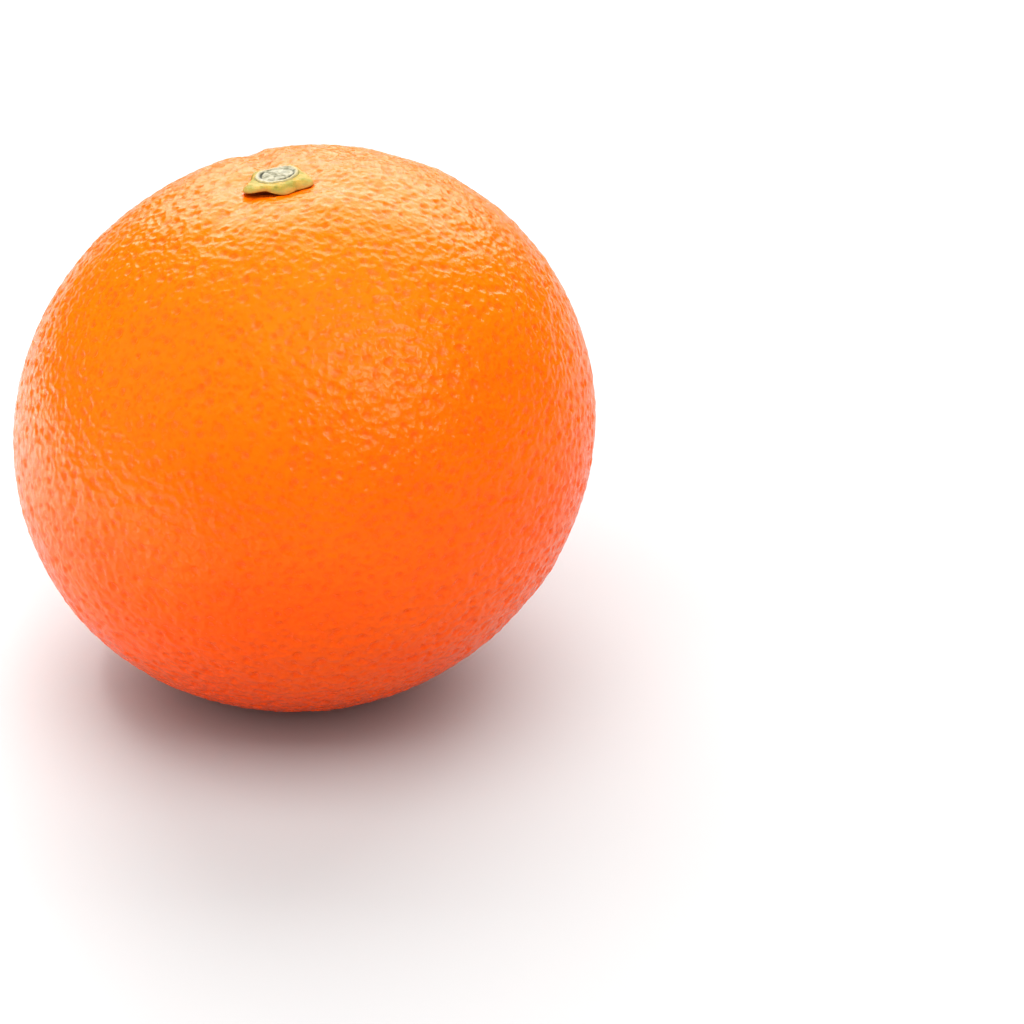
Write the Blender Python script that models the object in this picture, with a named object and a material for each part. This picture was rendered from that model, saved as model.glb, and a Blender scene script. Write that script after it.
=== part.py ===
"""A whole orange, as picked: the fruit, the calyx around its stem and the cut stub of the stem.

Metres, +Z up. The fruit rests on a small flat spot, and the origin lies on that spot, under the
middle of the fruit. The stem end is up and leans slightly towards -X.
"""

import math

import bmesh
import bpy
from mathutils import Vector

# The fruit: an ellipsoid that is round across and shorter along one leaning axis
LONG_RADIUS = 0.03955
SHORT_RADIUS = 0.03712
SHORT_AXIS = Vector((-0.463, -0.023, 0.886)).normalized()
FLAT_DEPTH = 0.0013  # how much of the underside the resting spot takes off
SEGMENTS = 56  # around the stem
RINGS = 38  # from the stem end to the blossom end

# The stem end
STEM_LEAN = math.radians(4.7)  # from +Z towards -X
HOLLOW_DEPTH = 0.0016
HOLLOW_RADIUS = 0.0075
# furrows that run out from the stem: direction, half width, depth
FURROWS = (
    (math.radians(107), 0.0019, 0.00065),
    (math.radians(172), 0.0024, 0.00026),
    (math.radians(232), 0.0019, 0.00030),
    (math.radians(292), 0.0022, 0.00020),
    (math.radians(345), 0.0024, 0.00026),
    (math.radians(47), 0.0026, 0.00022),
)
FURROW_REACH = 0.0095  # where a furrow is deepest, from the stem

# The calyx: a ring with five unequal lobes, and the stub inside it
GAP = 0.0003
LOBES = (
    (math.radians(217), 0.0053),
    (math.radians(288), 0.0043),
    (math.radians(340), 0.0052),
    (math.radians(60), 0.0044),
    (math.radians(135), 0.0046),
)
LOBE_HALF_ANGLE = math.radians(33)
NOTCH_RADIUS = 0.0037
CALYX_BORE = (0.0032, 0.0028)  # an oval, half its width and half its depth
CALYX_HEIGHT = 0.0017  # over the peel, beside the stub
CALYX_EDGE = 0.0004
CALYX_SEGMENTS = 60
CALYX_LIFT = 0.0005  # how far the lobe at LIFTED_LOBE stands off the peel
LIFTED_LOBE = math.radians(238)
STUB_RADII = (0.0029, 0.0025)
STUB_TOP = 0.0018
STUB_SEGMENTS = 28


def turned(angle, about):
    """The angle from about, between -pi and pi."""
    return (angle - about + math.pi) % (2 * math.pi) - math.pi


def half_height():
    """From the fruit's middle to its lowest point, before the flat spot."""
    lost = (LONG_RADIUS**2 - SHORT_RADIUS**2) * SHORT_AXIS.z**2
    return math.sqrt(LONG_RADIUS**2 - lost)


MIDDLE = Vector((0, 0, half_height() - FLAT_DEPTH))
STEM_AXIS = Vector((-math.sin(STEM_LEAN), 0, math.cos(STEM_LEAN)))
STEM_SIDE = Vector((math.cos(STEM_LEAN), 0, math.sin(STEM_LEAN)))
STEM_BACK = STEM_AXIS.cross(STEM_SIDE)


def relief(polar, around):
    """How far the peel lies inside the ellipsoid, by its angle from the stem and around it."""
    away = LONG_RADIUS * math.sin(polar) if polar < math.pi / 2 else LONG_RADIUS
    depth = HOLLOW_DEPTH * math.exp(-((away / HOLLOW_RADIUS) ** 2))
    if polar < math.pi / 2 and away > 0:
        reach = away / FURROW_REACH
        strength = reach * math.exp(1 - reach)
        for angle, width, deep in FURROWS:
            aside = away * math.sin(turned(around, angle))
            if math.cos(turned(around, angle)) > 0:
                depth += deep * strength * math.exp(-((aside / width) ** 2))
    # no fruit is quite round
    belt = math.sin(polar) ** 2
    depth += 0.00016 * belt * math.sin(3 * around + 0.8)
    depth += 0.00010 * belt * math.sin(2 * polar) * math.cos(5 * around + 0.3)
    return depth


def peel_point(polar, around, above=0.0):
    """A point on the peel, or that far above it."""
    out = (
        STEM_AXIS * math.cos(polar)
        + STEM_SIDE * (math.sin(polar) * math.cos(around))
        + STEM_BACK * (math.sin(polar) * math.sin(around))
    )
    along = out.dot(SHORT_AXIS) ** 2
    radius = 1 / math.sqrt((1 - along) / LONG_RADIUS**2 + along / SHORT_RADIUS**2)
    return MIDDLE + out * (radius - relief(polar, around) + above)


def over_peel(away, around, above):
    """The same, by the distance from the stem's axis."""
    return peel_point(math.asin(away / SHORT_RADIUS), around, above)


def plain_material(name, colour, roughness, coat=0.0):
    material = bpy.data.materials.new(name)
    material.use_nodes = True
    shader = material.node_tree.nodes["Principled BSDF"]
    shader.inputs["Base Color"].default_value = (*colour, 1)
    shader.inputs["Roughness"].default_value = roughness
    shader.inputs["Metallic"].default_value = 0.0
    shader.inputs["Coat Weight"].default_value = coat
    material.diffuse_color = (*colour, 1)
    return material


def add_object(name, shape, material, parent=None):
    bmesh.ops.recalc_face_normals(shape, faces=shape.faces)
    mesh = bpy.data.meshes.new(name)
    shape.to_mesh(mesh)
    shape.free()
    mesh.materials.append(material)
    piece = bpy.data.objects.new(name, mesh)
    bpy.context.collection.objects.link(piece)
    piece.parent = parent
    mesh.shade_smooth()
    mesh.set_sharp_from_angle(angle=math.radians(40))
    return piece


def bridge(shape, first, second):
    """Quads between two closed rings of the same number of points."""
    n = len(first)
    for i in range(n):
        j = (i + 1) % n
        shape.faces.new((first[i], first[j], second[j], second[i]))


def fruit():
    shape = bmesh.new()
    bmesh.ops.create_uvsphere(
        shape, u_segments=SEGMENTS, v_segments=RINGS, radius=1.0
    )
    for vertex in shape.verts:
        polar = math.acos(max(-1.0, min(1.0, vertex.co.z)))
        around = math.atan2(vertex.co.y, vertex.co.x)
        # the rings crowd towards the stem, where the hollow is
        polar -= 0.30 * math.sin(polar) * (1 + math.cos(polar)) / 2
        vertex.co = peel_point(polar, around)
    cut = bmesh.ops.bisect_plane(
        shape,
        geom=shape.verts[:] + shape.edges[:] + shape.faces[:],
        dist=0.00002,  # corners this near the plane are taken as on it
        plane_co=(0, 0, 0),
        plane_no=(0, 0, 1),
        clear_inner=True,
    )
    rim = [e for e in cut["geom_cut"] if isinstance(e, bmesh.types.BMEdge)]
    for edge in rim:
        for vertex in edge.verts:
            vertex.co.z = 0.0
    bmesh.ops.contextual_create(shape, geom=rim)
    return shape


def lobe_edge(around):
    """How far the calyx reaches from the stem's axis, in each direction."""
    reach = NOTCH_RADIUS
    for angle, tip in LOBES:
        off = abs(turned(around, angle)) / LOBE_HALF_ANGLE
        if off < 1:
            swell = math.cos(off * math.pi / 2) ** 1.3
            reach = max(reach, NOTCH_RADIUS + (tip - NOTCH_RADIUS) * swell)
    return reach


def lobe_lift(around, outward):
    """How far the underside stands off the peel, beyond the gap."""
    off = turned(around, LIFTED_LOBE) / math.radians(38)
    return CALYX_LIFT * math.exp(-(off**2)) * outward**1.5


def oval(radii, around):
    return 1 / math.hypot(math.cos(around) / radii[0], math.sin(around) / radii[1])


def calyx():
    """A ring of rounded section: up the bore, over the crown, down to the lobes and back under."""
    shape = bmesh.new()
    rings = []
    across = (0.0, 0.3, 0.6, 0.85, 1.0)
    angles = [2 * math.pi * i / CALYX_SEGMENTS for i in range(CALYX_SEGMENTS)]

    def top(t):
        return CALYX_EDGE + (CALYX_HEIGHT - CALYX_EDGE) * (1 - t) * (1 + 0.4 * t)

    def ring(t, upper):
        points = []
        for a in angles:
            inner, outer = oval(CALYX_BORE, a), lobe_edge(a)
            away = inner + (outer - inner) * t
            above = GAP + lobe_lift(a, t)
            if upper:
                above += top(t)
            points.append(shape.verts.new(over_peel(away, a, above)))
        return points

    rings += [ring(t, True) for t in across]
    rings += [ring(t, False) for t in reversed(across)]
    for first, second in zip(rings, rings[1:] + rings[:1]):
        bridge(shape, first, second)
    return shape


def stub():
    """The cut end: a short oval post with a slightly domed, sloping top."""
    shape = bmesh.new()
    angles = [2 * math.pi * i / STUB_SEGMENTS for i in range(STUB_SEGMENTS)]

    def ring(share, above):
        points = []
        for a in angles:
            away = oval(STUB_RADII, a) * share
            slope = 0.00018 * math.cos(a - math.radians(60)) * share
            points.append(
                shape.verts.new(over_peel(away, a, above + (slope if above > GAP else 0)))
            )
        return points

    rings = [
        ring(1.0, GAP),
        ring(1.0, STUB_TOP - 0.00025),
        ring(0.9, STUB_TOP - 0.00005),
        ring(0.5, STUB_TOP),
    ]
    for first, second in zip(rings, rings[1:]):
        bridge(shape, first, second)
    shape.faces.new(rings[0])
    crown = shape.verts.new(over_peel(0.0, 0.0, STUB_TOP - 0.00008))
    last = rings[-1]
    for i, vertex in enumerate(last):
        shape.faces.new((vertex, last[(i + 1) % len(last)], crown))
    return shape


def main():
    for thing in list(bpy.data.objects):
        bpy.data.objects.remove(thing, do_unlink=True)
    whole = bpy.data.objects.new("orange", None)
    bpy.context.collection.objects.link(whole)
    add_object(
        "fruit", fruit(), plain_material("peel", (0.84, 0.085, 0.002), 0.38, 0.1), whole
    )
    add_object(
        "calyx", calyx(), plain_material("calyx", (0.42, 0.40, 0.11), 0.6), whole
    )
    add_object(
        "stem_stub",
        stub(),
        plain_material("stem_wood", (0.45, 0.42, 0.30), 0.75),
        whole,
    )


main()
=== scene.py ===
"""The looks of the orange: its pebbled peel, the five-lobed calyx and the cut stem, on a plain pale floor.

Everything is in metres in the row's frame. The peel follows the CAD fruit's own shape, with its oil glands,
pits and stem furrows as real geometry.
"""

import math

import bpy
import numpy as np
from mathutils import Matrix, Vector, kdtree, noise


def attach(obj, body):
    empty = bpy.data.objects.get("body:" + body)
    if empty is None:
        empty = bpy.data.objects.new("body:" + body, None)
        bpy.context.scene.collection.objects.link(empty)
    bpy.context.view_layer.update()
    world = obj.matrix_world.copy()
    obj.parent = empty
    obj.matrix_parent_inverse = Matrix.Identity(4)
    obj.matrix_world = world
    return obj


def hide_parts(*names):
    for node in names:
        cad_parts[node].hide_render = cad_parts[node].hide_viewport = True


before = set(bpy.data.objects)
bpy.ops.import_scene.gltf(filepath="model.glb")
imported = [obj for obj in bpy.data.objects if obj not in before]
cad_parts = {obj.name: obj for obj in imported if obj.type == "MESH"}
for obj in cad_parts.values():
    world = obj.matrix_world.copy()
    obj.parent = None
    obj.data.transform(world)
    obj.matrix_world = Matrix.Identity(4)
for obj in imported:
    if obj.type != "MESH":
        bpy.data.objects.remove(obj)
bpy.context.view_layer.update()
MM = 0.001

# ---------------------------------------------------------------- the fruit's shape, as in the CAD
LONG_RADIUS = 0.03955
SHORT_RADIUS = 0.03712
SHORT_AXIS = np.array(Vector((-0.463, -0.023, 0.886)).normalized())
FLAT_DEPTH = 0.0013
STEM_LEAN = math.radians(4.7)
HOLLOW_DEPTH = 0.0016
HOLLOW_RADIUS = 0.0075
FURROWS = (
    (math.radians(107), 0.0019, 0.00065),
    (math.radians(172), 0.0024, 0.00026),
    (math.radians(232), 0.0019, 0.00030),
    (math.radians(292), 0.0022, 0.00020),
    (math.radians(345), 0.0024, 0.00026),
    (math.radians(47), 0.0026, 0.00022),
)
FURROW_REACH = 0.0095
GAP = 0.0003
LOBES = (
    (math.radians(217), 0.0053),
    (math.radians(288), 0.0043),
    (math.radians(340), 0.0052),
    (math.radians(60), 0.0044),
    (math.radians(135), 0.0046),
)
LOBE_HALF_ANGLE = math.radians(33)
NOTCH_RADIUS = 0.0037
CALYX_BORE = (0.0032, 0.0028)
CALYX_HEIGHT = 0.0017
CALYX_EDGE = 0.0004
CALYX_LIFT = 0.0005
LIFTED_LOBE = math.radians(238)
STUB_RADII = (0.0029, 0.0025)
STUB_TOP = 0.0018

HALF_HEIGHT = math.sqrt(
    LONG_RADIUS**2 - (LONG_RADIUS**2 - SHORT_RADIUS**2) * SHORT_AXIS[2] ** 2
)
MIDDLE = np.array((0, 0, HALF_HEIGHT - FLAT_DEPTH))
STEM_AXIS = np.array((-math.sin(STEM_LEAN), 0, math.cos(STEM_LEAN)))
STEM_SIDE = np.array((math.cos(STEM_LEAN), 0, math.sin(STEM_LEAN)))
STEM_BACK = np.cross(STEM_AXIS, STEM_SIDE)


def turned(angle, about):
    return (angle - about + math.pi) % (2 * math.pi) - math.pi


def smooth(low, high, x):
    t = np.clip((x - low) / (high - low), 0, 1)
    return t * t * (3 - 2 * t)


def relief(polar, around):
    """How far the peel lies inside the ellipsoid."""
    upper = polar < math.pi / 2
    away = np.where(upper, LONG_RADIUS * np.sin(polar), LONG_RADIUS)
    depth = HOLLOW_DEPTH * np.exp(-((away / HOLLOW_RADIUS) ** 2))
    reach = away / FURROW_REACH
    strength = np.where(upper, reach * np.exp(1 - reach), 0)
    for angle, width, deep in FURROWS:
        aside = away * np.sin(turned(around, angle))
        ahead = np.cos(turned(around, angle)) > 0
        depth += np.where(
            ahead, deep * strength * np.exp(-((aside / width) ** 2)), 0
        )
    belt = np.sin(polar) ** 2
    depth += 0.00016 * belt * np.sin(3 * around + 0.8)
    depth += 0.00010 * belt * np.sin(2 * polar) * np.cos(5 * around + 0.3)
    return depth


def stem_angles(out):
    """A direction's angle from the stem's axis, and around it."""
    along = np.clip(out @ STEM_AXIS, -1, 1)
    return np.arccos(along), np.arctan2(out @ STEM_BACK, out @ STEM_SIDE)


def ellipsoid_radius(out):
    along = (out @ SHORT_AXIS) ** 2
    return 1 / np.sqrt((1 - along) / LONG_RADIUS**2 + along / SHORT_RADIUS**2)


def peel_radius(out):
    return ellipsoid_radius(out) - relief(*stem_angles(out))


def over_peel(away, around, above):
    """A point over the peel, by its distance from the stem's axis."""
    polar = np.arcsin(np.asarray(away) / SHORT_RADIUS)
    around = np.asarray(around, float)
    out = (
        np.cos(polar)[..., None] * STEM_AXIS
        + (np.sin(polar) * np.cos(around))[..., None] * STEM_SIDE
        + (np.sin(polar) * np.sin(around))[..., None] * STEM_BACK
    )
    return MIDDLE + out * (peel_radius(out) + above)[..., None]


# ---------------------------------------------------------------- meshes
def add_mesh(name, points, faces, uvs=None):
    mesh = bpy.data.meshes.new(name)
    faces = np.asarray(faces, np.int32)
    mesh.vertices.add(len(points))
    mesh.vertices.foreach_set("co", np.asarray(points, np.float32).ravel())
    sides = faces.shape[1]
    mesh.loops.add(faces.size)
    mesh.loops.foreach_set("vertex_index", faces.ravel())
    mesh.polygons.add(len(faces))
    mesh.polygons.foreach_set(
        "loop_start", np.arange(0, faces.size, sides, dtype=np.int32)
    )
    mesh.update(calc_edges=True)
    mesh.validate()
    if uvs is not None:
        layer = mesh.uv_layers.new(name="OFBake")
        layer.data.foreach_set("uv", np.asarray(uvs, np.float32).ravel())
    mesh.shade_smooth()
    piece = bpy.data.objects.new(name, mesh)
    bpy.context.collection.objects.link(piece)
    return piece


def add_mesh_any(name, points, groups):
    """The same, from faces of several kinds."""
    mesh = bpy.data.meshes.new(name)
    faces = [tuple(int(k) for k in face) for group in groups for face in group]
    mesh.from_pydata([tuple(p) for p in points], [], faces)
    mesh.update(calc_edges=True)
    mesh.validate()
    mesh.shade_smooth()
    piece = bpy.data.objects.new(name, mesh)
    bpy.context.collection.objects.link(piece)
    return piece


def add_value(piece, name, values):
    layer = piece.data.attributes.new(name, "FLOAT", "POINT")
    layer.data.foreach_set("value", np.asarray(values, np.float32))


def noise_at(points, size, seed):
    """Smooth noise, about -1 to 1, with features of about that size in metres."""
    shift = Vector((17.3 * seed, -9.1 * seed, 5.7 * seed))
    return np.array([noise.noise(Vector(p) / size + shift) for p in points])


PEEL_CELLS = 208  # along each edge of the cube it is rounded from


def sphere_grid(n):
    """A rounded cube's corners (unit directions), its quads, and a chart of its six sides."""
    axes = ((0, 1, 2), (1, 2, 0), (2, 0, 1))
    keys, quads, uvs = [], [], []
    u, v = np.meshgrid(np.arange(n + 1), np.arange(n + 1), indexing="ij")
    index = np.arange((n + 1) ** 2).reshape(n + 1, n + 1)
    count = 0
    for side in range(6):
        a, b, c = axes[side % 3]
        key = np.zeros((n + 1, n + 1, 3), np.int64)
        key[..., a], key[..., b] = u, v
        key[..., c] = n if side < 3 else 0
        keys.append(key.reshape(-1, 3))
        corners = [
            index[:-1, :-1],
            index[1:, :-1],
            index[1:, 1:],
            index[:-1, 1:],
        ]
        if side >= 3:
            corners = corners[::-1]
        quads.append(np.stack([c_.ravel() for c_ in corners], axis=1) + count)
        count += (n + 1) ** 2
        place = np.array((side % 3 / 3, side // 3 / 2))
        spot = np.stack([u.ravel() / n, v.ravel() / n], axis=1)
        spot = place + np.array((1 / 3, 1 / 2)) * (0.02 + 0.96 * spot)
        uvs.append(spot)
    keys, quads, uvs = np.concatenate(keys), np.concatenate(quads), np.concatenate(uvs)
    _, first, inverse = np.unique(keys, axis=0, return_index=True, return_inverse=True)
    inverse = inverse.reshape(-1)
    flat = np.tan((keys[first] / n - 0.5) * (math.pi / 2))
    out = flat / np.linalg.norm(flat, axis=1, keepdims=True)
    return out, inverse[quads], uvs[quads.reshape(-1)]


def make_pits(rng, spacing):
    """Directions of the sunken oil glands, spread evenly and then shaken."""
    count = int(4 * math.pi / (spacing / LONG_RADIUS) ** 2 / 0.87)
    i = np.arange(count) + 0.5
    z = 1 - 2 * i / count
    turn = i * math.pi * (3 - math.sqrt(5))
    ring = np.sqrt(1 - z * z)
    out = np.stack([ring * np.cos(turn), ring * np.sin(turn), z], axis=1)
    out += rng.normal(0, 0.27 * spacing / LONG_RADIUS, out.shape)
    return out / np.linalg.norm(out, axis=1, keepdims=True)


def peel():
    out, quads, uvs = sphere_grid(PEEL_CELLS)
    radius = peel_radius(out)
    points = MIDDLE + out * radius[:, None]
    polar, _ = stem_angles(out)
    near_stem = np.exp(-((polar * LONG_RADIUS / (6 * MM)) ** 2))

    # broad dents, then the pebbled skin over the oil glands
    calm = 1 - 0.55 * near_stem
    height = 0.00011 * noise_at(points, 7 * MM, 1)
    height += 0.00006 * noise_at(points, 3.0 * MM, 2) * calm
    height += 0.00010 * noise_at(points, 1.20 * MM, 3) * calm
    height += 0.00007 * noise_at(points, 0.80 * MM, 4) * calm

    tree = kdtree.KDTree(len(points))
    for i, p in enumerate(points):
        tree.insert(p, i)
    tree.balance()
    rng = np.random.default_rng(11)
    sunk = np.zeros(len(points))
    for spacing, sizes, depths in (
        (2.4 * MM, (0.40 * MM, 0.72 * MM), (0.12 * MM, 0.26 * MM)),
        (1.6 * MM, (0.26 * MM, 0.44 * MM), (0.04 * MM, 0.13 * MM)),
    ):
        centres = make_pits(rng, spacing)
        at = MIDDLE + centres * peel_radius(centres)[:, None]
        size = rng.uniform(*sizes, len(at))
        depth = rng.uniform(*depths, len(at))
        long_way = rng.normal(0, 1, at.shape)
        long_way /= np.linalg.norm(long_way, axis=1, keepdims=True)
        stretch = rng.uniform(0.0, 0.5, len(at))
        for p, r, d, w, k in zip(at, size, depth, long_way, stretch):
            found = np.array([i for _, i, _ in tree.find_range(p, r * 1.6)], int)
            if not len(found):
                continue
            away = points[found] - p
            far = (away**2).sum(1) - k * (away @ w) ** 2
            dip = d * np.clip(1 - far / (1.15 * r) ** 2, 0, 1) ** 1.4
            sunk[found] = np.maximum(sunk[found], dip)
    sunk *= 1 - 0.6 * near_stem
    height -= sunk
    points = points + out * height[:, None]

    # the spot it rests on, and the small scar of the blossom end beside the spot's middle
    soft = 0.00010
    z = points[:, 2]
    points[:, 2] = np.where(
        z < 0.004, soft * np.log1p(np.exp(np.clip(z / soft, -50, 50))), z
    )
    foot = MIDDLE - STEM_AXIS * SHORT_RADIUS
    from_scar = np.hypot(points[:, 0] - foot[0], points[:, 1] - foot[1])
    scar = np.where(out[:, 2] < 0, np.exp(-((from_scar / 0.0015) ** 2)), 0)
    points[:, 2] += 0.0005 * scar * (1 - 0.7 * np.exp(-((from_scar / 0.0006) ** 2)))

    piece = add_mesh("peel", points, quads, uvs)
    add_value(piece, "pit", np.clip(sunk / 0.00014, 0, 1))
    add_value(piece, "scar", scar)
    add_value(piece, "stem_end", near_stem)
    return piece


def lobe_edge(around):
    reach = np.full(np.shape(around), NOTCH_RADIUS)
    for angle, tip in LOBES:
        off = np.clip(np.abs(turned(around, angle)) / LOBE_HALF_ANGLE, 0, 1)
        swell = np.cos(off * math.pi / 2) ** 1.3
        reach = np.maximum(reach, NOTCH_RADIUS + (tip - NOTCH_RADIUS) * swell)
    return reach


def lobe_lift(around, outward):
    off = turned(around, LIFTED_LOBE) / math.radians(30)
    return (GAP + CALYX_LIFT) * np.exp(-(off**2)) * outward**1.5


def oval(radii, around):
    return 1 / np.hypot(np.cos(around) / radii[0], np.sin(around) / radii[1])


def bands(count, segments, closed):
    """Quads between rings of the same number of points."""
    i = np.arange(segments)
    j = (i + 1) % segments
    faces = []
    for k in range(count if closed else count - 1):
        m = (k + 1) % count
        faces.append(
            np.stack(
                [k * segments + i, m * segments + i, m * segments + j, k * segments + j],
                axis=1,
            )
        )
    return np.concatenate(faces)


def calyx():
    """Five unequal lobes on one crown, wrinkled, with a thin rolled edge."""
    segments, steps = 360, 44
    around = np.arange(segments) / segments * 2 * math.pi
    inner, outer = oval(CALYX_BORE, around) - 0.00026, lobe_edge(around)
    ragged = np.array(
        [noise.noise(Vector((math.cos(a) * 3.1, math.sin(a) * 3.1, 4.0))) for a in around]
    )
    outer = outer + 0.00012 * ragged
    ribs = np.cos(5 * around - 0.6) * 0.5 + np.cos(11 * around + 1.0) * 0.25
    rings, kinds, shade = [], [], []
    t_top = np.sin(np.linspace(0, math.pi / 2, steps))
    t_under = np.linspace(1, 0, 12)
    for t, upper in [(t, True) for t in t_top] + [(t, False) for t in t_under[1:]]:
        away = inner + (outer - inner) * t
        above = 0.00018 * smooth(0.1, 0.6, t) - 0.0001 + lobe_lift(around, t)
        if upper:
            crown = CALYX_EDGE + (CALYX_HEIGHT - CALYX_EDGE) * (1 - t) * (1 + 0.4 * t)
            crown = crown * np.sqrt(np.clip(1 - t**14, 0, 1))
            crown = crown + 0.00007 * ribs * math.sin(math.pi * t) ** 0.8
            crown = crown - 0.00010 * (1 - smooth(0.0, 0.12, t))
            above = above + crown
        ring = over_peel(away, around, above)
        if upper and t < 0.985:
            wrinkle = noise_at(ring, 0.55 * MM, 5) * 0.6 + noise_at(ring, 0.26 * MM, 6) * 0.4
            ring = ring + 0.00007 * wrinkle[:, None] * STEM_AXIS
        rings.append(ring)
        kinds.append(np.full(segments, t if upper else 1.0))
        # mark the lobes' undersides, which the material paints dark brown as painted shade
        shade.append(np.full(segments, 0.0 if upper else 1.0))
    piece = add_mesh(
        "calyx_lobes",
        np.concatenate(rings),
        bands(len(rings), segments, True),
    )
    add_value(piece, "outward", np.concatenate(kinds))
    add_value(piece, "painted_shade_under", np.concatenate(shade))
    return piece


def stem_end():
    """The cut: a paler core in a rim, with a broken groove between them that is painted dark as painted
    shade.
    """
    segments, steps = 240, 52
    around = np.arange(segments) / segments * 2 * math.pi
    edge = oval(STUB_RADII, around)
    groove_at = 0.72 + 0.04 * np.cos(2 * around + 0.9) + 0.03 * np.cos(3 * around)
    groove_deep = 0.35 + 0.65 * np.exp(-((turned(around, math.radians(168)) / 0.45) ** 2))
    groove_deep += 0.60 * np.exp(-((turned(around, math.radians(318)) / 0.55) ** 2))
    groove_deep -= 0.33 * np.exp(-((turned(around, math.radians(245)) / 0.60) ** 2))
    rings = [over_peel(edge, around, np.full(segments, -0.0001))]
    inward, groove = [np.ones(segments)], [np.zeros(segments)]
    for q in np.linspace(1, 0.02, steps):
        cut = np.exp(-(((q - groove_at) / 0.055) ** 2)) * groove_deep
        rim = np.exp(-(((q - 0.90) / 0.07) ** 2))
        above = (
            STUB_TOP
            - 0.00016 * smooth(0.95, 1.0, q)
            + 0.00007 * rim
            - 0.00028 * cut
            + 0.00010 * (1 - q * q)
            + 0.00012 * np.cos(around - math.radians(75)) * q
        )
        ring = over_peel(edge * q, around, above - 0.00012)
        if q < 0.97:
            rough = noise_at(ring, 0.7 * MM, 7) * 0.6 + noise_at(ring, 0.3 * MM, 8) * 0.4
            ring = ring + 0.00011 * rough[:, None] * STEM_AXIS
        rings.append(ring)
        inward.append(np.full(segments, q))
        groove.append(cut)
    count = len(rings)
    points = np.concatenate(rings)
    last = (count - 1) * segments
    faces = bands(count, segments, False)[:, ::-1]
    crown = points[last:].mean(axis=0)
    mesh_points = np.concatenate([points, crown[None], MIDDLE[None] * 0 + over_peel(0.0, 0.0, -0.0001)[None]])
    i = np.arange(segments)
    j = (i + 1) % segments
    top = len(points)
    cap = np.stack([last + i, last + j, np.full(segments, top), np.full(segments, top)], axis=1)
    base = np.stack([j, i, np.full(segments, top + 1), np.full(segments, top + 1)], axis=1)
    piece = add_mesh_any("stem_cut", mesh_points, [faces, cap[:, :3], base[:, :3]])
    add_value(piece, "inward", np.concatenate([*inward, [0, 1]]))
    # the groove's depth, which the material also uses to paint shade into the groove
    add_value(piece, "groove", np.concatenate([*groove, [0, 0]]))
    return piece


# ---------------------------------------------------------------- materials
class Nodes:
    """A short way to write a node tree."""

    def __init__(self, name):
        self.material = bpy.data.materials.new(name)
        self.material.use_nodes = True
        self.tree = self.material.node_tree
        self.shader = self.tree.nodes["Principled BSDF"]
        self.count = 0

    def add(self, kind, **settings):
        node = self.tree.nodes.new(kind)
        node.location = (-1600 + 180 * (self.count % 8), 600 - 220 * (self.count // 8))
        self.count += 1
        for key, value in settings.items():
            setattr(node, key, value)
        return node

    def feed(self, socket, value):
        if isinstance(value, bpy.types.NodeSocket):
            self.tree.links.new(value, socket)
        elif hasattr(socket, "default_value"):
            if isinstance(value, tuple) and len(value) == 3 and socket.type == "RGBA":
                value = (*value, 1)
            socket.default_value = value

    def coordinates(self, scale=(1000, 1000, 1000)):
        """Object coordinates in millimetres."""
        where = self.add("ShaderNodeTexCoord")
        mapping = self.add("ShaderNodeMapping")
        mapping.inputs["Scale"].default_value = scale
        self.feed(mapping.inputs["Vector"], where.outputs["Object"])
        return mapping.outputs["Vector"]

    def attribute(self, name):
        return self.add("ShaderNodeAttribute", attribute_name=name).outputs["Fac"]

    def noise(self, vector, scale, detail=2.0, rough=0.5, distortion=0.0):
        node = self.add("ShaderNodeTexNoise")
        self.feed(node.inputs["Vector"], vector)
        for key, value in (
            ("Scale", scale),
            ("Detail", detail),
            ("Roughness", rough),
            ("Distortion", distortion),
        ):
            self.feed(node.inputs[key], value)
        return node.outputs["Fac"]

    def cells(self, vector, scale, feature="F1", randomness=1.0, smoothness=None):
        node = self.add("ShaderNodeTexVoronoi", feature=feature)
        self.feed(node.inputs["Vector"], vector)
        self.feed(node.inputs["Scale"], scale)
        self.feed(node.inputs["Randomness"], randomness)
        if smoothness is not None:
            self.feed(node.inputs["Smoothness"], smoothness)
        return node.outputs["Distance"]

    def math(self, operation, a, b=0.0, c=0.0, clamp=False):
        node = self.add("ShaderNodeMath", operation=operation, use_clamp=clamp)
        for socket, value in zip(node.inputs, (a, b, c)):
            self.feed(socket, value)
        return node.outputs[0]

    def range(self, value, low, high, to_low=0.0, to_high=1.0, kind="SMOOTHSTEP"):
        node = self.add("ShaderNodeMapRange", interpolation_type=kind)
        for key, v in (
            ("Value", value),
            ("From Min", low),
            ("From Max", high),
            ("To Min", to_low),
            ("To Max", to_high),
        ):
            self.feed(node.inputs[key], v)
        return node.outputs["Result"]

    def mix(self, share, a, b, blend="MIX"):
        node = self.add("ShaderNodeMix", data_type="RGBA", blend_type=blend)
        self.feed(node.inputs["Factor"], share)
        self.feed(node.inputs[6], a)
        self.feed(node.inputs[7], b)
        return node.outputs[2]

    def bump(self, height, strength, distance, normal=None):
        node = self.add("ShaderNodeBump")
        self.feed(node.inputs["Strength"], strength)
        self.feed(node.inputs["Distance"], distance)
        self.feed(node.inputs["Height"], height)
        if normal is not None:
            self.feed(node.inputs["Normal"], normal)
        return node.outputs["Normal"]

    def set(self, **values):
        for key, value in values.items():
            self.feed(self.shader.inputs[key.replace("_", " ")], value)


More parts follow.
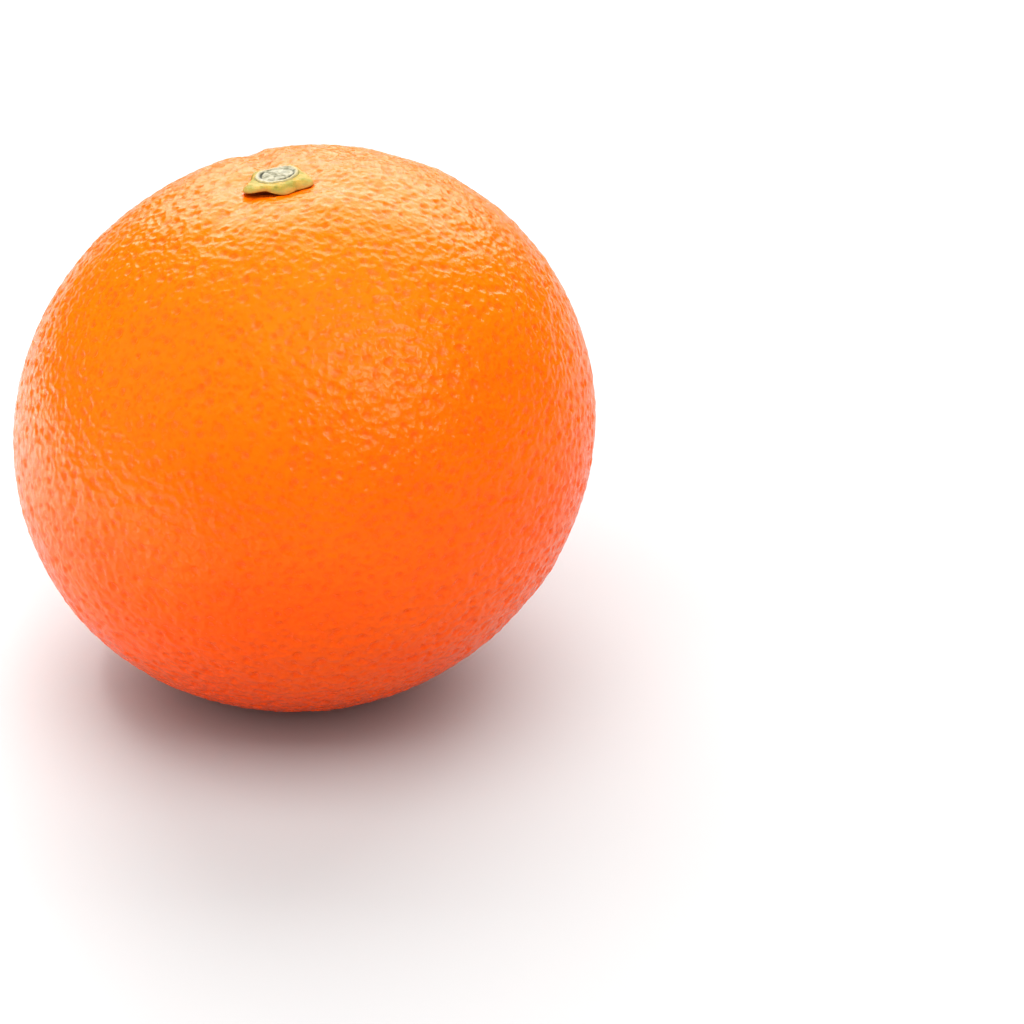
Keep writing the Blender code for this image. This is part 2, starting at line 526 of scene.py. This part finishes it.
def peel_material():
    m = Nodes("orange_peel")
    where = m.coordinates()
    pit = m.attribute("pit")
    height = m.add("ShaderNodeSeparateXYZ")
    m.feed(height.inputs["Vector"], where)
    up = height.outputs["Z"]

    # the peel is painted lighter and yellower towards the top and darker and redder towards the bottom as
    # painted shade, with random blotches of real tone on top
    shaded_low_colour = (0.90, 0.086, 0.0004)
    lit_high_colour = (0.92, 0.160, 0.0010)
    blotch = m.noise(where, 0.07, 3.0, 0.55)
    painted_shade_and_blotch = m.range(up, 6.0, 70.0, 0.0, 1.0, "LINEAR")
    painted_shade_and_blotch = m.math("ADD", painted_shade_and_blotch, m.math("MULTIPLY_ADD", blotch, 0.6, -0.3), clamp=True)
    colour = m.mix(painted_shade_and_blotch, shaded_low_colour, lit_high_colour)
    # each oil gland is a slightly deeper dot, with the skin between a little lighter
    glands = m.cells(where, 0.95, "F1", 1.0)
    dot = m.range(glands, 0.08, 0.42, 1.0, 0.0)
    colour = m.mix(m.math("MULTIPLY", dot, 0.30), colour, (0.84, 0.064, 0.0003))
    # the sunken pits are painted a deeper orange by their depth: partly the glands' own deeper colour, partly
    # painted shade in the hollows
    colour = m.mix(m.math("MULTIPLY", pit, 0.35), colour, (0.88, 0.078, 0.0003))
    # a few tiny brown rub marks
    rub = m.range(m.noise(where, 0.55, 5.0, 0.7), 0.735, 0.80)
    colour = m.mix(m.math("MULTIPLY", rub, 0.45), colour, (0.30, 0.09, 0.015))
    scar = m.attribute("scar")
    colour = m.mix(m.range(scar, 0.35, 0.8), colour, (0.16, 0.09, 0.03))
    m.set(Base_Color=colour)

    fine = m.noise(where, 2.4, 2.0, 0.55)
    rough = m.range(fine, 0.3, 0.7, 0.15, 0.22, "LINEAR")
    rough = m.math("ADD", rough, m.math("MULTIPLY", pit, 0.14))
    m.set(Roughness=rough)
    bump = m.bump(m.cells(where, 1.15, "SMOOTH_F1", 1.0, 0.25), 1.0, 0.00012)
    bump = m.bump(fine, 1.0, 0.00006, bump)
    m.set(
        Normal=bump,
        Specular_IOR_Level=0.20,
    )
    return m.material


def calyx_material():
    m = Nodes("calyx_skin")
    where = m.coordinates()
    outward = m.attribute("outward")
    mottle = m.noise(where, 0.9, 4.0, 0.6)
    speckle = m.noise(where, 3.2, 3.0, 0.6)
    colour = m.mix(m.range(mottle, 0.38, 0.62), (0.43, 0.270, 0.030), (0.275, 0.235, 0.027))
    colour = m.mix(m.range(speckle, 0.55, 0.75, 0.0, 0.5), colour, (0.44, 0.35, 0.090))
    colour = m.mix(m.range(speckle, 0.42, 0.28, 0.0, 0.45), colour, (0.12, 0.085, 0.018))
    colour = m.mix(m.range(outward, 0.80, 1.0, 0.0, 0.55), colour, (0.49, 0.35, 0.095))
    # the lobes' undersides are painted dark brown: painted shade under the lobes
    colour = m.mix(m.attribute("painted_shade_under"), colour, (0.10, 0.04, 0.006))
    m.set(Base_Color=colour, Normal=m.bump(speckle, 1.0, 0.00008))
    m.set(Roughness=m.range(mottle, 0.3, 0.7, 0.45, 0.65, "LINEAR"))
    return m.material


def stem_material():
    m = Nodes("cut_stem")
    where = m.coordinates()
    groove, inward = m.attribute("groove"), m.attribute("inward")
    grain = m.noise(where, 1.5, 5.0, 0.65)
    fibre = m.noise(m.coordinates((700, 3200, 1000)), 1.0, 3.0, 0.6)
    colour = m.mix(m.range(grain, 0.35, 0.65), (0.20, 0.188, 0.112), (0.40, 0.368, 0.255))
    colour = m.mix(m.range(fibre, 0.45, 0.30, 0.0, 0.6), colour, (0.085, 0.092, 0.055))
    colour = m.mix(m.range(inward, 0.80, 0.97, 0.0, 0.8), colour, (0.42, 0.34, 0.14))
    # the groove is painted near-black along its depth: painted shade in the hollow
    colour = m.mix(m.range(groove, 0.12, 0.65, 0.0, 0.92), colour, (0.040, 0.044, 0.026))
    m.set(Base_Color=colour, Normal=m.bump(grain, 1.0, 0.00012))
    m.set(Roughness=m.range(grain, 0.3, 0.7, 0.40, 0.62, "LINEAR"))
    return m.material


# ---------------------------------------------------------------- the object
rind = peel()
rind.data.materials.append(peel_material())
lobes = calyx()
lobes.data.materials.append(calyx_material())
stem = stem_end()
stem.data.materials.append(stem_material())
for piece, node, slot in (
    (rind, "fruit", "peel"),
    (lobes, "calyx", "calyx"),
    (stem, "stem_stub", "stem_wood"),
):
    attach(piece, "root")
    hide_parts(node)


# ---------------------------------------------------------------- floor, light and camera
def add_floor():
    half = 0.7
    piece = add_mesh(
        "floor",
        [(-half, -half, 0), (half, -half, 0), (half, half, 0), (-half, half, 0)],
        [(0, 1, 2, 3)],
    )
    piece.location.z = -0.00005
    m = Nodes("pale_floor")
    m.set(Base_Color=(0.45, 0.45, 0.45), Roughness=0.9, Specular_IOR_Level=0.2)
    piece.data.materials.append(m.material)


def add_light(name, azimuth, elevation, distance, size, radiance, diffuse=True, glossy=True):
    """A soft box that faces the fruit. Azimuth 0 is behind it (+Y), 90 is to its right (+X)."""
    a, e = math.radians(azimuth), math.radians(elevation)
    towards = Vector(
        (math.sin(a) * math.cos(e), math.cos(a) * math.cos(e), math.sin(e))
    )
    data = bpy.data.lights.new(name, "AREA")
    data.shape = "RECTANGLE"
    data.size, data.size_y = size
    data.energy = radiance * math.pi * size[0] * size[1]
    lamp = bpy.data.objects.new(name, data)
    bpy.context.collection.objects.link(lamp)
    lamp.location = Vector(MIDDLE) + towards * distance
    lamp.rotation_mode = "QUATERNION"
    lamp.rotation_quaternion = towards.to_track_quat("Z", "Y")
    lamp.visible_camera = False
    lamp.visible_diffuse = diffuse
    lamp.visible_glossy = glossy
    return lamp


def add_floor_light():
    """Light on the floor to the fruit's left, which lifts its lower left side."""
    lamp = add_light("floor_patch", -90, 60, 0.3, (0.16, 0.34), 7.0, glossy=False)
    lamp.data.spread = math.radians(50)
    lamp.location = (-0.21, -0.05, 0.30)
    lamp.rotation_mode = "XYZ"
    lamp.rotation_euler = (0, 0, 0)


def add_world():
    """White where the camera looks past the floor, soft as fill, and dark in reflections."""
    world = bpy.data.worlds.new("studio")
    world.use_nodes = True
    bpy.context.scene.world = world
    world.cycles_visibility.glossy = False
    nodes, links = world.node_tree.nodes, world.node_tree.links
    nodes.clear()
    out = nodes.new("ShaderNodeOutputWorld")
    path = nodes.new("ShaderNodeLightPath")
    fill = nodes.new("ShaderNodeBackground")
    fill.inputs["Strength"].default_value = WORLD_FILL
    seen = nodes.new("ShaderNodeBackground")
    seen.inputs["Strength"].default_value = 0.95
    pick = nodes.new("ShaderNodeMixShader")
    for node in (fill, seen):
        node.inputs["Color"].default_value = (1, 1, 1, 1)
    links.new(path.outputs["Is Camera Ray"], pick.inputs["Fac"])
    links.new(fill.outputs[0], pick.inputs[1])
    links.new(seen.outputs[0], pick.inputs[2])
    links.new(pick.outputs[0], out.inputs["Surface"])


WORLD_FILL = 0.76
CAMERA_ELEVATION = math.radians(28)
CAMERA_DISTANCE = 0.65
PIXEL = 0.0001345  # at the fruit's distance
IMAGE = 1024
FRUIT_AT = (305.5, 427.8)  # where the fruit's middle is in the image


def add_camera():
    back = Vector((0, -math.cos(CAMERA_ELEVATION), math.sin(CAMERA_ELEVATION)))
    up = Vector((0, math.sin(CAMERA_ELEVATION), math.cos(CAMERA_ELEVATION)))
    right = Vector((1, 0, 0))
    aim = Vector(MIDDLE)
    aim += right * (IMAGE / 2 - FRUIT_AT[0]) * PIXEL
    aim -= up * (IMAGE / 2 - FRUIT_AT[1]) * PIXEL
    data = bpy.data.cameras.new("camera")
    data.sensor_width = 36
    data.lens = 36 * CAMERA_DISTANCE / (IMAGE * PIXEL)
    data.clip_start, data.clip_end = 0.01, 50
    camera = bpy.data.objects.new("camera", data)
    bpy.context.collection.objects.link(camera)
    camera.location = aim + back * CAMERA_DISTANCE
    camera.rotation_mode = "QUATERNION"
    camera.rotation_quaternion = back.to_track_quat("Z", "Y")
    bpy.context.scene.camera = camera


add_floor()
add_world()
add_light("back_box", 3, 38, 1.2, (1.50, 1.30), 3.5)
add_light("front_box", 138, 47, 1.0, (0.42, 0.42), 6.0, diffuse=False)
add_light("left_box", -92, 31, 1.0, (0.7, 0.7), 0.4)
add_light("front_fill", 140, 45, 1.0, (0.9, 0.9), 0.7, glossy=False)
add_light("left_fill", -115, 10, 1.0, (0.9, 0.9), 0.5, glossy=False)
add_light("top_fill", 180, 72, 1.3, (1.4, 1.0), 2.7, glossy=False)
add_floor_light()
add_camera()
bpy.context.scene.view_settings.view_transform = "Standard"
bpy.context.scene.view_settings.look = "Medium High Contrast"
